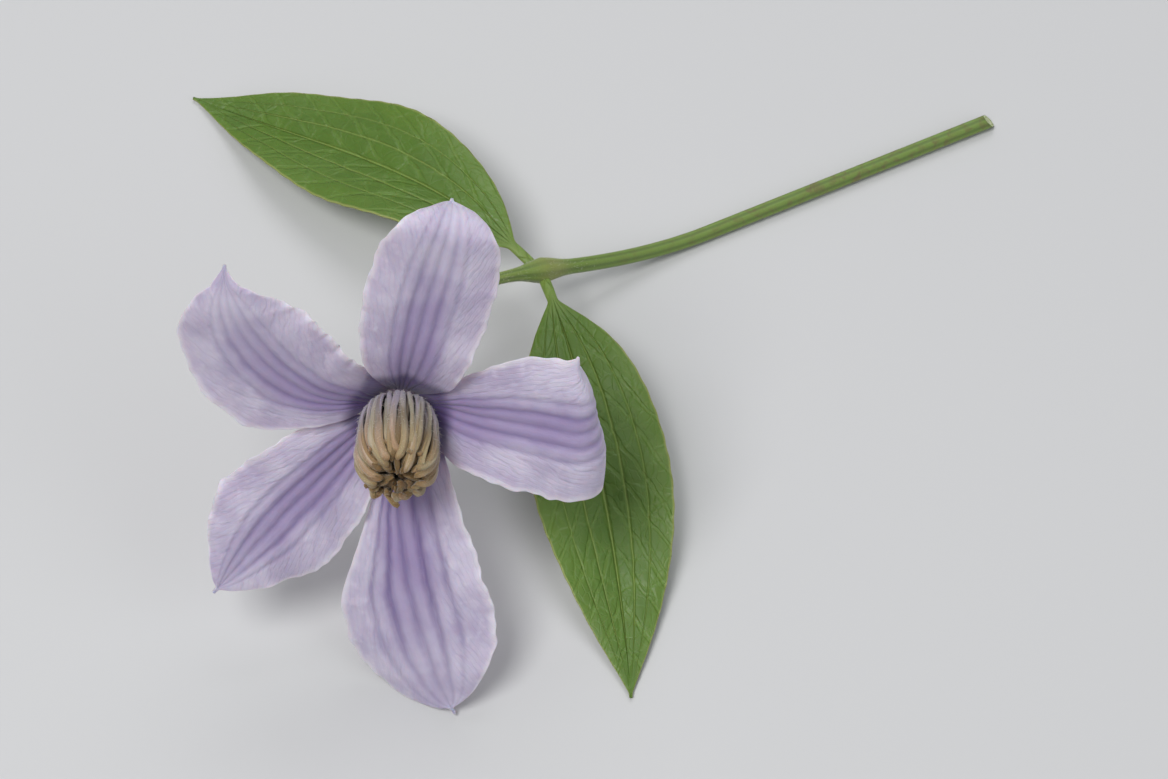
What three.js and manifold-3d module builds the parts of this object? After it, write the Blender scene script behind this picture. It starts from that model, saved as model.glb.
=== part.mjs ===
import * as THREE from 'three';
import Module from 'manifold-3d';

// A picked clematis bloom lying on its side: five ruffled tepals round a barrel of stamens,
// on an arched stalk with one pair of leaves and a slanting cut at the end of the stem.
// Millimetres, +Z up, resting on z = 0.

const wasm = await Module();
wasm.setup();
const { Manifold, Mesh } = wasm;

const DEG = Math.PI / 180;

// Where the bloom sits and how far its face looks up from level.
const FACE_TILT = 20;
const HEAD_X = -31.58;
const HEAD_Y = -24.8;
const HEAD_HEIGHT = 39.2;

// Tepals, in the bloom's own frame: +z out of the face, +x to the right, +y up.
// turn: direction of the foot; bend: sideways turn by the tip; rise: angle of the foot above
// the bloom's plane; spread: angle of the middle; curl: how far the end is bent back, between
// curlFrom and curlTo of the length; roll: turn about the midrib; widest: where along the length
// it is widest; foot: width at the foot as a share of the widest; taper and point: how it is
// drawn in towards foot and tip; close and beak: where the blunt end closes, and the half-width
// of the beak beyond it; walls: the directions of the flat walls that part it from its
// neighbours; cup: how far its sides stand up by the foot. walls and cup give the clockwise
// side first.
const TEPAL_THICKNESS = 0.7;
const TEPAL_FOOT_THICKNESS = 0.8;
const TEPAL_FOOT_RADIUS = 4.2;
const TEPAL_RIB = 0.35;
const TEPAL_CLEARANCE = 0.19;
const TEPAL_EASE = 1.6;
const TEPAL_ROWS = 24;
const TEPAL_COLUMNS = [
  -1, -0.86, -0.66, -0.44, -0.3, -0.2, -0.1, 0, 0.1, 0.2, 0.3, 0.44, 0.66, 0.86, 1,
];
const TEPALS = [
  {
    name: 'tepal_right', turn: 11, bend: -22, walls: [-45, 38], length: 44.5, halfWidth: 12.8,
    foot: 0.45, widest: 0.62, taper: 0.95, point: 1.8, close: 0.975, beak: 0.6, rise: 36, spread: 17,
    curl: 124, curlFrom: 0.55, curlTo: 0.8, roll: -16, cup: [0.3, -0.03], ruffle: 0.3, waves: 3.3,
    phase: 0.4,
  },
  {
    name: 'tepal_upper', turn: 80, bend: -6, walls: [38, 113], length: 48, halfWidth: 10.2,
    foot: 0.57, widest: 0.53, taper: 1.0, point: 2.5, close: 0.975, beak: 0.6, rise: 34, spread: 6,
    curl: 112, curlFrom: 0.76, curlTo: 0.97, roll: -2, cup: [0.25, 0.25], ruffle: 0.3, waves: 3.4,
    phase: 1.9,
  },
  {
    name: 'tepal_upper_left', turn: 163.5, bend: -77, walls: [114, 182], length: 44.2, halfWidth: 12.5,
    foot: 0.64, widest: 0.5, taper: 0.85, point: 2.0, close: 0.935, beak: 2.4, rise: 34, spread: 6,
    curl: 25, curlFrom: 0.74, curlTo: 1, roll: -4, cup: [-0.03, 0.3], ruffle: 0.35, waves: 2.9,
    phase: 3.3,
  },
  {
    name: 'tepal_lower_left', turn: 217, bend: 13, walls: [182, 252], length: 41, halfWidth: 11.4,
    foot: 0.45, widest: 0.62, taper: 1.0, point: 1.35, close: 0.975, beak: 0.6, rise: 36, spread: 17,
    curl: 10, curlFrom: 0.75, curlTo: 1, roll: 9, cup: [-0.05, 0.3], ruffle: 0.45, waves: 3.5,
    phase: 5.1,
  },
  {
    name: 'tepal_lower', turn: 264, bend: 34, walls: [252, 315], length: 51.2, halfWidth: 13.4,
    foot: 0.48, widest: 0.62, taper: 1.0, point: 2.3, close: 0.975, beak: 0.6, rise: 36, spread: 25,
    curl: 14, curlFrom: 0.75, curlTo: 1, roll: 11, cup: [-0.03, -0.03], ruffle: 0.35, waves: 3.1,
    phase: 0.9,
  },
];

// Stamens in three whorls round the pistils. Each path is a list of [radius, height].
const FILAMENT_WIDTH = 1.1;
const FILAMENT_DEPTH = 0.7;
const ANTHER_WIDTH = 1.6;
const ANTHER_DEPTH = 1.0;
const CUP_INNER = 1.75;
const CUP_OUTER = 4.0;
const CUP_BOTTOM = 1.5;
const CUP_TOP = 3.2;
const WHORLS = [
  {
    count: 24, offset: 0, anther: 0.55,
    path: [[3.5, 2.1], [5.35, 3.5], [6.6, 6.8], [6.8, 10.6], [6.3, 14.8], [4.3, 17.8], [2.7, 18.9]],
  },
  {
    count: 12, offset: 8, anther: 0.6,
    path: [[3.0, 2.1], [4.3, 4.4], [5.1, 7.8], [5.2, 11], [4.7, 14], [3.5, 16.4], [2.5, 17.3]],
  },
  {
    count: 7, offset: 3, anther: 0.6,
    path: [[2.4, 2.1], [3.1, 5], [3.5, 8], [3.5, 11], [3.2, 13.4], [2.7, 15], [2.4, 15.6]],
  },
];

// Pistils, a slim column of styles in the middle.
const PISTIL_ROOT = 1.15;
const PISTIL_WAIST = 1.3;
const PISTIL_HEIGHT = 14;
const STYLES = 9;

// Stalk: it leaves the back of the bloom, arches down, turns to the right and lies down.
const STALK_BEND = 65;
const STALK_ARCH = 60;
const STALK_LAND = 85;
const NODE_AT = 52;
const STALK_END = 140;
const CUT_SLANT = 35;
const STEM_APOTHEM = 1.3;
const PEDICEL_APOTHEM = 1.0;
const NODE_SWELL = 0.75;
const FLAT_HALF_ANGLE = 22;

// The pair of leaves at the node. heading: plan direction; bend: its change to the tip.
const LEAF_THICKNESS = 0.65;
const PETIOLE_THICKNESS = 1.3;
const LEAF_RIB = 0.4;
const LEAF_ROWS = 22;
const LEAF_COLUMNS = [-1, -0.8, -0.56, -0.32, -0.14, 0, 0.14, 0.32, 0.56, 0.8, 1];
const LEAF_GAP = 0.3;
const LEAVES = [
  {
    name: 'leaf_left', heading: 138, bend: 16, length: 74, halfWidth: 16.5, rise: 16,
    fold: 16, ripple: 0.7, phase: 0.6,
  },
  {
    name: 'leaf_right', heading: 288, bend: -14, length: 76, halfWidth: 17, rise: 10,
    fold: 14, ripple: 0.8, phase: 2.4,
  },
];

function clamp(value) {
  return Math.min(1, Math.max(0, value));
}

function smooth(value) {
  const x = clamp(value);
  return x * x * (3 - 2 * x);
}

function mix(a, b, x) {
  return a + (b - a) * x;
}

function seededRandom(seed) {
  let state = seed;
  return () => {
    state = (state * 1664525 + 1013904223) % 4294967296;
    return state / 4294967296;
  };
}

// A closed thin body over a grid of middle points. The front lies towards rows x columns.
// Front and back are split into triangles alike.
function blade(grid, thickness, rib) {
  const rows = grid.length;
  const columns = grid[0].length;
  const front = [];
  const back = [];
  for (let i = 0; i < rows; i += 1) {
    for (let j = 0; j < columns; j += 1) {
      const along = grid[Math.min(i + 1, rows - 1)][j].clone().sub(grid[Math.max(i - 1, 0)][j]);
      const across = grid[i][Math.min(j + 1, columns - 1)].clone().sub(grid[i][Math.max(j - 1, 0)]);
      const normal = along.cross(across).normalize();
      const half = thickness(i, j) / 2;
      front.push(grid[i][j].clone().addScaledVector(normal, half));
      back.push(grid[i][j].clone().addScaledVector(normal, -half - rib(i, j)));
    }
  }
  const at = (i, j) => i * columns + j;
  const under = rows * columns;
  const index = [];
  for (let i = 0; i < rows - 1; i += 1) {
    for (let j = 0; j < columns - 1; j += 1) {
      const a = at(i, j);
      const b = at(i + 1, j);
      const c = at(i + 1, j + 1);
      const d = at(i, j + 1);
      if ((i + j) % 2 === 0) {
        index.push(a, b, c, a, c, d);
        index.push(under + a, under + c, under + b, under + a, under + d, under + c);
      } else {
        index.push(a, b, d, b, c, d);
        index.push(under + a, under + d, under + b, under + b, under + d, under + c);
      }
    }
  }
  const rim = [];
  for (let j = 0; j < columns - 1; j += 1) rim.push(at(0, j));
  for (let i = 0; i < rows - 1; i += 1) rim.push(at(i, columns - 1));
  for (let j = columns - 1; j > 0; j -= 1) rim.push(at(rows - 1, j));
  for (let i = rows - 1; i > 0; i -= 1) rim.push(at(i, 0));
  rim.forEach((a, k) => {
    const b = rim[(k + 1) % rim.length];
    index.push(a, b, under + b, a, under + b, under + a);
  });
  return geometryFrom([...front, ...back], index);
}

function geometryFrom(points, index) {
  const geometry = new THREE.BufferGeometry();
  const flat = new Float32Array(points.flatMap((p) => [p.x, p.y, p.z]));
  geometry.setAttribute('position', new THREE.BufferAttribute(flat, 3));
  geometry.setIndex(index);
  return geometry;
}

// A closed body swept through rings of points that all have the same length.
function sweep(rings) {
  const sides = rings[0].length;
  const points = rings.flat();
  const index = [];
  for (let i = 0; i < rings.length - 1; i += 1) {
    for (let k = 0; k < sides; k += 1) {
      const a = i * sides + k;
      const b = i * sides + ((k + 1) % sides);
      index.push(a, b, b + sides, a, b + sides, a + sides);
    }
  }
  const first = points.length;
  const last = first + 1;
  const middle = (ring) => ring
    .reduce((sum, p) => sum.add(p), new THREE.Vector3())
    .divideScalar(ring.length);
  points.push(middle(rings[0]), middle(rings[rings.length - 1]));
  const top = (rings.length - 1) * sides;
  for (let k = 0; k < sides; k += 1) {
    const next = (k + 1) % sides;
    index.push(first, next, k);
    index.push(last, top + k, top + next);
  }
  return geometryFrom(points, index);
}

function solid(geometry) {
  const mesh = new Mesh({
    numProp: 3,
    vertProperties: new Float32Array(geometry.attributes.position.array),
    triVerts: new Uint32Array(geometry.index.array),
  });
  mesh.merge();
  return new Manifold(mesh);
}

function fused(geometries) {
  const joined = Manifold.union(geometries.map(solid));
  const mesh = joined.getMesh();
  const geometry = new THREE.BufferGeometry();
  geometry.setAttribute('position', new THREE.BufferAttribute(mesh.vertProperties, 3));
  geometry.setIndex(new THREE.BufferAttribute(mesh.triVerts, 1));
  return geometry;
}

// The pose of the bloom: its face turns from +z to look forward (-y) and a little up.
const bloomPose = new THREE.Matrix4()
  .makeTranslation(HEAD_X, HEAD_Y, HEAD_HEIGHT)
  .multiply(new THREE.Matrix4().makeRotationX((90 - FACE_TILT) * DEG));

function tepalPitch(spec, q) {
  const opening = (spec.rise - spec.spread) * (1 - smooth(q / 0.38));
  const bending = spec.curl * smooth((q - spec.curlFrom) / (spec.curlTo - spec.curlFrom));
  return (spec.spread + opening - bending) * DEG;
}

function tepalYaw(spec, q) {
  return spec.bend * q * DEG;
}

// Half-width along the length as a share of the widest: an ellipse-like blade drawn in to
// the foot, blunt at the end.
function tepalOutline(spec, q) {
  if (q < spec.widest) {
    return mix(spec.foot, 1, Math.sin((Math.PI / 2) * (q / spec.widest)) ** spec.taper);
  }
  const x = Math.min(1, (q - spec.widest) / (spec.close - spec.widest));
  return (1 - x ** spec.point) ** (0.4 + 0.5 / spec.point);
}

// Half-width on one hand: the full one, eased into the reach at which the margin stands the
// clearance from the wall on that hand. The reach is found by halving the miss.
function trimmed(full, soft, hand, wall, place) {
  let reach = full;
  for (let k = 0; k < 24; k += 1) {
    const p = place(hand, reach);
    const room = hand * (p.x * Math.sin(wall) - p.y * Math.cos(wall));
    reach = Math.min(full + 6, reach + 0.5 * (room - TEPAL_CLEARANCE));
  }
  return (full + reach - Math.hypot(full - reach, soft)) / 2;
}

function tepalGrid(spec) {
  const walls = spec.walls.map((angle) => (angle - spec.turn) * DEG);
  const steps = 240;
  const line = [new THREE.Vector3(TEPAL_FOOT_RADIUS, 0, 0)];
  for (let i = 0; i < steps; i += 1) {
    const q = (i + 0.5) / steps;
    const pitch = tepalPitch(spec, q);
    const yaw = tepalYaw(spec, q);
    const along = new THREE.Vector3(
      Math.cos(pitch) * Math.cos(yaw),
      Math.cos(pitch) * Math.sin(yaw),
      Math.sin(pitch),
    );
    line.push(line[i].clone().addScaledVector(along, spec.length / steps));
  }
  const grid = [];
  for (let i = 0; i <= TEPAL_ROWS; i += 1) {
    const q = 1 - (1 - i / TEPAL_ROWS) ** 1.45;
    const step = Math.min(steps - 1, Math.floor(q * steps));
    const centre = line[step].clone().lerp(line[step + 1], q * steps - step);
    const pitch = tepalPitch(spec, q);
    const yaw = tepalYaw(spec, q);
    const along = new THREE.Vector3(
      Math.cos(pitch) * Math.cos(yaw),
      Math.cos(pitch) * Math.sin(yaw),
      Math.sin(pitch),
    );
    const side = new THREE.Vector3(-Math.sin(yaw), Math.cos(yaw), 0);
    side.applyAxisAngle(along, spec.roll * smooth(q / 0.2) * DEG);
    const normal = along.clone().cross(side);
    const beak = spec.beak * (1 - smooth((q - 0.9) / 0.1)) + 0.36;
    const blunt = spec.halfWidth * tepalOutline(spec, q);
    const place = (u, half) => {
      const hand = u < 0 ? 0 : 2.1;
      const wave = 2 * Math.PI * spec.waves * q + spec.phase + hand;
      const edge = Math.abs(u) ** 2.2;
      const free = edge * smooth((q - 0.12) / 0.3) * smooth((1 - q) / 0.06);
      const ruffle = spec.ruffle * free * (Math.sin(wave) + 0.35 * Math.sin(2.3 * wave));
      const scallop = 1 + 0.015 * free * Math.sin(1.7 * wave + 1);
      const channel = -0.75 * Math.exp(-((u / 0.3) ** 2)) * smooth(q / 0.1) * (1 - 0.6 * q);
      const standing = smooth(q / 0.12) * (1 - smooth(q / 0.5));
      const cup = spec.cup[u < 0 ? 0 : 1] * half * u * u * standing;
      const fallback = -0.16 * half * Math.abs(u) ** 3 * smooth((q - 0.35) / 0.4);
      const wrap = (half * u) ** 2 / (2 * TEPAL_FOOT_RADIUS) * (1 - smooth(q / 0.1));
      const lift = ruffle + channel + cup + fallback;
      return centre.clone()
        .addScaledVector(side, half * u * scallop)
        .addScaledVector(normal, lift)
        .add(new THREE.Vector3(-wrap, 0, 0));
    };
    const width = Math.max(beak, blunt);
    const soft = TEPAL_EASE * smooth(q / 0.3) * (1 - smooth((q - 0.6) / 0.2));
    const right = trimmed(width, soft, -1, walls[0], place);
    const left = trimmed(width, soft, 1, walls[1], place);
    grid.push(TEPAL_COLUMNS.map((u) => place(u, u < 0 ? right : left)
      .applyAxisAngle(new THREE.Vector3(0, 0, 1), spec.turn * DEG)
      .applyMatrix4(bloomPose)));
  }
  return grid;
}

function tepal(spec) {
  const grid = tepalGrid(spec);
  const thickness = (i) => mix(TEPAL_FOOT_THICKNESS, TEPAL_THICKNESS, smooth(i / 6));
  const rib = (i, j) => {
    const u = Math.abs(TEPAL_COLUMNS[j]);
    const ridge = u === 0 || u === 0.2 ? 1 : 0;
    return TEPAL_RIB * ridge * smooth(i / 4) * smooth((TEPAL_ROWS - i) / 8);
  };
  return blade(grid, thickness, rib);
}

function ringAt(centre, radial, tangent, depth, width) {
  return [[-1, -1], [1, -1], [1, 1], [-1, 1]].map(([r, w]) => centre.clone()
    .addScaledVector(radial, (r * depth) / 2)
    .addScaledVector(tangent, (w * width) / 2));
}

function stamens() {
  const random = seededRandom(11);
  const parts = [];
  const cup = [[CUP_INNER, CUP_BOTTOM], [CUP_OUTER, CUP_BOTTOM], [CUP_OUTER + 0.3, CUP_TOP],
    [CUP_INNER, CUP_TOP]].map(([x, y]) => new THREE.Vector2(x, y));
  parts.push(turned([...cup, cup[0]], 24, true));
  WHORLS.forEach((whorl) => {
    for (let k = 0; k < whorl.count; k += 1) {
      const jitter = (random() - 0.5) * (90 / whorl.count);
      const angle = ((360 * k) / whorl.count + whorl.offset + jitter) * DEG;
      const lean = (random() - 0.5) * 9 * DEG;
      const reach = 0.95 + 0.09 * random();
      const rings = whorl.path.map(([radius, height], i) => {
        const share = i / (whorl.path.length - 1);
        const here = angle + lean * share;
        const radial = new THREE.Vector3(Math.cos(here), Math.sin(here), 0);
        const tangent = new THREE.Vector3(-Math.sin(here), Math.cos(here), 0);
        const previous = whorl.path[Math.max(0, i - 1)];
        const next = whorl.path[Math.min(whorl.path.length - 1, i + 1)];
        const slope = new THREE.Vector2(next[0] - previous[0], next[1] - previous[1]).normalize();
        const outward = radial.clone().multiplyScalar(slope.y);
        outward.z = -slope.x;
        const anther = smooth((share - whorl.anther + 0.12) / 0.2) * (share > 0.99 ? 0.3 : 1);
        const centre = radial.clone().multiplyScalar(radius * (share > 0.5 ? 1 : reach));
        centre.z = CUP_BOTTOM + 0.5 + (height - CUP_BOTTOM - 0.5) * reach;
        return ringAt(
          centre,
          outward,
          tangent,
          mix(FILAMENT_DEPTH, ANTHER_DEPTH, anther),
          mix(FILAMENT_WIDTH, ANTHER_WIDTH, anther),
        );
      });
      parts.push(sweep(rings));
    }
  });
  return fused(parts).applyMatrix4(bloomPose);
}

// A body turned about z from a profile of radius and height. A closed profile gives a ring.
function turned(profile, sides, closed) {
  const rings = profile.map((p) => Array.from({ length: sides }, (_, k) => {
    const angle = (2 * Math.PI * k) / sides;
    return new THREE.Vector3(p.x * Math.cos(angle), p.x * Math.sin(angle), p.y);
  }));
  if (!closed) return sweep(rings);
  const count = profile.length - 1;
  const points = rings.slice(0, count).flat();
  const index = [];
  for (let i = 0; i < count; i += 1) {
    const up = (i + 1) % count;
    for (let k = 0; k < sides; k += 1) {
      const next = (k + 1) % sides;
      const a = i * sides + k;
      const b = i * sides + next;
      const c = up * sides + next;
      const d = up * sides + k;
      index.push(a, b, c, a, c, d);
    }
  }
  return geometryFrom(points, index);
}

function pistils() {
  const profile = [
    [PISTIL_ROOT, CUP_BOTTOM], [PISTIL_ROOT, 4], [PISTIL_WAIST, 8], [PISTIL_WAIST, 12],
    [1.0, PISTIL_HEIGHT - 0.6], [0.5, PISTIL_HEIGHT],
  ].map(([x, y]) => new THREE.Vector2(x, y));
  const parts = [turned(profile, 14, false)];
  for (let k = 0; k < STYLES; k += 1) {
    const angle = (2 * Math.PI * k) / STYLES;
    const radial = new THREE.Vector3(Math.cos(angle), Math.sin(angle), 0);
    const tangent = new THREE.Vector3(-Math.sin(angle), Math.cos(angle), 0);
    const rings = [[0.85, 10.5], [1.05, 12.5], [1.15, 13.8], [1.2, 14.7 + 0.5 * (k % 3)]]
      .map(([radius, height], i) => ringAt(
        radial.clone().multiplyScalar(radius).setZ(height),
        radial,
        tangent,
        i === 3 ? 0.35 : 0.6,
        i === 3 ? 0.35 : 0.6,
      ));
    parts.push(sweep(rings));
  }
  return fused(parts).applyMatrix4(bloomPose);
}

// Height of a line that starts at `from` with slope `start` and settles on `to` at `reach`.
function settle(distance, reach, from, to, start) {
  const x = clamp(distance / reach);
  const c = 2 + (start * reach) / (from - to);
  return to + (from - to) * (1 - x) ** 2 * (1 + c * x);
}

function stalkLine(stepLength) {
  const points = [];
  const position = new THREE.Vector3(HEAD_X, HEAD_Y, HEAD_HEIGHT);
  const count = Math.round(STALK_END / stepLength);
  for (let i = 0; i <= count; i += 1) {
    const plan = i * stepLength;
    const height = settle(
      plan,
      STALK_LAND,
      HEAD_HEIGHT,
      STEM_APOTHEM,
      -Math.tan(FACE_TILT * DEG),
    );
    points.push(new THREE.Vector3(position.x, position.y, height));
    const turn = STALK_BEND * smooth((plan + stepLength / 2) / STALK_ARCH) * DEG;
    position.x += stepLength * Math.sin(turn);
    position.y += stepLength * Math.cos(turn);
  }
  return points;
}

function stem() {
  const stepLength = 2.5;
  const line = stalkLine(stepLength);
  const up = new THREE.Vector3(0, 0, 1);
  const rings = line.map((centre, i) => {
    const plan = i * stepLength;
    const next = line[Math.min(i + 1, line.length - 1)];
    const along = next.clone().sub(line[Math.max(i - 1, 0)]).normalize();
    const side = along.clone().cross(up).normalize();
    const above = side.clone().cross(along);
    const swell = 1 + NODE_SWELL * Math.exp(-(((plan - NODE_AT) / 3.2) ** 2));
    const apothem = mix(PEDICEL_APOTHEM, STEM_APOTHEM, smooth((plan - NODE_AT + 10) / 14)) * swell;
    const corner = apothem / Math.cos(FLAT_HALF_ANGLE * DEG);
    const cut = i === line.length - 1 ? Math.tan(CUT_SLANT * DEG) : 0;
    return Array.from({ length: 12 }, (_, k) => {
      const flat = Math.floor(k / 2) * 60 - 90;
      const angle = (flat + (k % 2 === 0 ? -1 : 1) * FLAT_HALF_ANGLE) * DEG;
      const sideways = corner * Math.cos(angle);
      const upwards = corner * Math.sin(angle);
      return centre.clone()
        .addScaledVector(side, -sideways)
        .addScaledVector(above, upwards)
        .addScaledVector(along, cut * (STEM_APOTHEM - upwards));
    });
  });
  const torus = turned([
    [1.0, -7], [1.4, -5.2], [2.4, -3.6], [3.8, -2.3], [4.7, -1.5], [4.75, -1.15],
    [3.8, -0.8], [3.35, 1.0], [3.1, 1.2],
  ].map(([x, y]) => new THREE.Vector2(x, y)), 24, false).applyMatrix4(bloomPose);
  return fused([sweep(rings), torus]);
}

// Half-width along the leaf: a slim stalk that flares into the blade, which is broad below the
// middle and drawn out to a point.
function leafOutline(q) {
  const x = clamp((q - 0.05) / 0.95);
  const stalk = 0.055 * (1 - smooth(q / 0.3));
  return Math.hypot(stalk, 2.87 * x ** 0.9 * (1 - x) ** 1.15);
}

function leafGrid(spec) {
  const line = stalkLine(0.5);
  const node = line[Math.round(NODE_AT / 0.5)];
  const start = PEDICEL_APOTHEM * (1 + NODE_SWELL) + 0.85 + LEAF_GAP;
  const steps = 240;
  const step = spec.length / steps;
  const up = new THREE.Vector3(0, 0, 1);
  const low = LEAF_THICKNESS / 2 + 0.15;
  const points = [];
  const position = new THREE.Vector3(
    node.x + start * Math.cos(spec.heading * DEG),
    node.y + start * Math.sin(spec.heading * DEG),
    0,
  );
  const yawAt = (q) => (spec.heading + spec.bend * q) * DEG;
  for (let i = 0; i <= steps; i += 1) {
    const height = settle(i * step, spec.length, node.z, low, Math.tan(spec.rise * DEG));
    points.push(new THREE.Vector3(position.x, position.y, height));
    position.x += step * Math.cos(yawAt((i + 0.5) / steps));
    position.y += step * Math.sin(yawAt((i + 0.5) / steps));
  }
  const grid = [];
  for (let i = 0; i <= LEAF_ROWS; i += 1) {
    const q = i / LEAF_ROWS;
    const k = Math.round(q * steps);
    const along = points[Math.min(k + 1, steps)].clone().sub(points[Math.max(k - 1, 0)]).normalize();
    const side = up.clone().cross(along).normalize();
    const normal = along.clone().cross(side);
    const half = Math.max(0.65, spec.halfWidth * leafOutline(q));
    const blunt = smooth(q / 0.2);
    grid.push(LEAF_COLUMNS.map((u) => {
      const spread = half * u;
      const fold = Math.abs(spread) * Math.tan(spec.fold * DEG) * blunt * (1 - 0.35 * Math.abs(u));
      const hand = u < 0 ? 0 : 1.7;
      const wave = 2 * Math.PI * 2.6 * q + spec.phase + hand;
      const ripple = spec.ripple * u * u * blunt * smooth((1 - q) / 0.3) * Math.sin(wave);
      return points[k].clone()
        .addScaledVector(side, spread)
        .addScaledVector(normal, fold + ripple);
    }));
  }
  return grid;
}

function leaf(spec) {
  const grid = leafGrid(spec);
  const thickness = (i) => mix(PETIOLE_THICKNESS, LEAF_THICKNESS, smooth(i / 3));
  const rib = (i, j) => {
    const u = Math.abs(LEAF_COLUMNS[j]);
    const ridge = u === 0 ? 1 : (u === 0.32 ? 0.5 : 0);
    return LEAF_RIB * ridge * smooth(i / 4) * smooth((LEAF_ROWS - i) / 12);
  };
  return blade(grid, thickness, rib);
}

const tepalSkin = { color: 0xb9a6d6, roughness: 0.62, metalness: 0 };
const stamenSkin = { color: 0xc9a765, roughness: 0.75, metalness: 0 };
const pistilSkin = { color: 0xa8a05c, roughness: 0.7, metalness: 0 };
const stemSkin = { color: 0x86994a, roughness: 0.65, metalness: 0 };
const leafSkin = { color: 0x4f7330, roughness: 0.5, metalness: 0 };

const flower = new THREE.Group();

function add(name, geometry, skin) {
  geometry.computeVertexNormals();
  const mesh = new THREE.Mesh(geometry, new THREE.MeshStandardMaterial(skin));
  mesh.name = name;
  flower.add(mesh);
}

TEPALS.forEach((spec) => add(spec.name, tepal(spec), tepalSkin));
add('stamens', stamens(), stamenSkin);
add('pistils', pistils(), pistilSkin);
add('stem', stem(), stemSkin);
LEAVES.forEach((spec) => add(spec.name, leaf(spec), leafSkin));

export default flower;
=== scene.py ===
import math
from functools import partial, reduce

import bpy
import numpy as np
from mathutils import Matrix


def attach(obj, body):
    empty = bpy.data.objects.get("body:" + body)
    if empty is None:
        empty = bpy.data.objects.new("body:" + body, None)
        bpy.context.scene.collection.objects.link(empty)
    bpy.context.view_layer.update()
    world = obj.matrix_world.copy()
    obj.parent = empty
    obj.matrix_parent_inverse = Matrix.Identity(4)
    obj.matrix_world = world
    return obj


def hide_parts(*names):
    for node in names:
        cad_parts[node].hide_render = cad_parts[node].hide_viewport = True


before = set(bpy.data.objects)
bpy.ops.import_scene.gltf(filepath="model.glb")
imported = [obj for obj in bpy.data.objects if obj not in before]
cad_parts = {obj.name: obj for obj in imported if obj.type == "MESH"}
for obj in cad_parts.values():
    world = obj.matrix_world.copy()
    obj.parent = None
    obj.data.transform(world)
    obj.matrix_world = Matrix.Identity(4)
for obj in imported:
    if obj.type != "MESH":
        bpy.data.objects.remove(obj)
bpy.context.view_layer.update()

MM = 0.001
TURN = 2 * np.pi
UP = np.array([0, 0, 1])

# Where the bloom sits (mm) and how far its face looks up from level.
HEAD = np.array([-31.58, -24.8, 39.2])
FACE_TILT = math.radians(20)

# The stalk: how far it turns over the arch, and, as mm from the head in plan, where the arch
# ends, where the stalk comes down on the floor, where the leaf joint is and where the cut is;
# then how far the cut slants.
STALK_BEND = math.radians(65)
STALK_ARCH = 60
STALK_LAND = 85
NODE_AT = 52
STALK_END = 140
CUT_SLANT = math.radians(35)

# Half-widths of the stem below the joint and of the flower stalk above it, the share that the
# joint swells by, how many ribs run along both, and the receptacle as (depth behind the head,
# radius).
STEM_HALF = 1.3
PEDICEL_HALF = 1.0
NODE_SWELL = 0.75
STEM_RIBS = 6
RECEPTACLE = ((-1.2, 3.1), (-1.0, 3.35), (0.7, 3.8), (1.15, 4.75), (1.5, 4.7), (2.3, 3.8),
              (3.6, 2.4), (5.2, 1.4), (7, 1.0))

# Each tepal, in degrees, mm and shares of the length: direction of its foot, sideways bend, the
# directions of the flat walls that part it from its neighbours, length, half-width, where it is
# widest, how it is drawn in to the foot and how wide it stays there, how blunt it closes and
# where, the half-width of the beak beyond, its slope at foot and middle, how far and where its end
# bends back, roll, how far its sides stand up by the foot, the ruffle of its margin, and of the
# bar inside: where it has faded, how widely its nerves are spread, and how dark they are. walls
# and cup give the clockwise side first.
TEPALS = {
    "tepal_right": dict(
        turn=11, bend=-22, walls=(-45, 38), length=44.5, half=12.8, widest=0.62, taper=0.95,
        foot=0.45, point=1.8, close=0.975, beak=0.6, rise=36, spread=17, curl=124, curl_from=0.55,
        curl_to=0.8, roll=-16, cup=(0.3, -0.03), ruffle=0.3, waves=3.3,
        phase=0.4, fade=1.1, band=1, dark=0.5,
    ),
    "tepal_upper": dict(
        turn=80, bend=-6, walls=(38, 113), length=48, half=10.2, widest=0.53, taper=1.0,
        foot=0.57, point=2.5, close=0.975, beak=0.6, rise=34, spread=6, curl=112, curl_from=0.76,
        curl_to=0.97, roll=-2, cup=(0.25, 0.25), ruffle=0.3, waves=3.4,
        phase=1.9, fade=0.88, band=1.1, dark=0.5,
    ),
    "tepal_upper_left": dict(
        turn=163.5, bend=-77, walls=(114, 182), length=44.2, half=12.5, widest=0.5, taper=0.85,
        foot=0.64, point=2.0, close=0.935, beak=2.4, rise=34, spread=6, curl=25, curl_from=0.74,
        curl_to=1, roll=-4, cup=(-0.03, 0.3), ruffle=0.35, waves=2.9,
        phase=3.3, fade=0.85, band=1, dark=0.54,
    ),
    "tepal_lower_left": dict(
        turn=217, bend=13, walls=(182, 252), length=41, half=11.4, widest=0.62, taper=1.0,
        foot=0.45, point=1.35, close=0.975, beak=0.6, rise=36, spread=17, curl=10, curl_from=0.75,
        curl_to=1, roll=9, cup=(-0.05, 0.3), ruffle=0.45, waves=3.5,
        phase=5.1, fade=1.05, band=1.05, dark=0.6,
    ),
    "tepal_lower": dict(
        turn=264, bend=34, walls=(252, 315), length=51.2, half=13.4, widest=0.62, taper=1.0,
        foot=0.48, point=2.3, close=0.975, beak=0.6, rise=36, spread=25, curl=14, curl_from=0.75,
        curl_to=1, roll=11, cup=(-0.03, -0.03), ruffle=0.35, waves=3.1,
        phase=0.9, fade=0.95, band=1.36, dark=0.8,
    ),
}

# For every tepal (mm): the radius at which its foot stands, the gap to its walls, how softly its
# margin comes to them, half its thickness, how far its rim is rounded out, and the length to which
# its patterns are drawn. Its nerves lie at these shares of the half-width.
TEPAL_FOOT = 4.2
TEPAL_CLEARANCE = 0.02
TEPAL_EASE = 1.6
TEPAL_THIN_HALF = 0.34
TEPAL_RIM = 0.08
TEPAL_PATTERN = 46.0
TEPAL_NERVES = (0.0, 0.2, 0.4)

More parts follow.
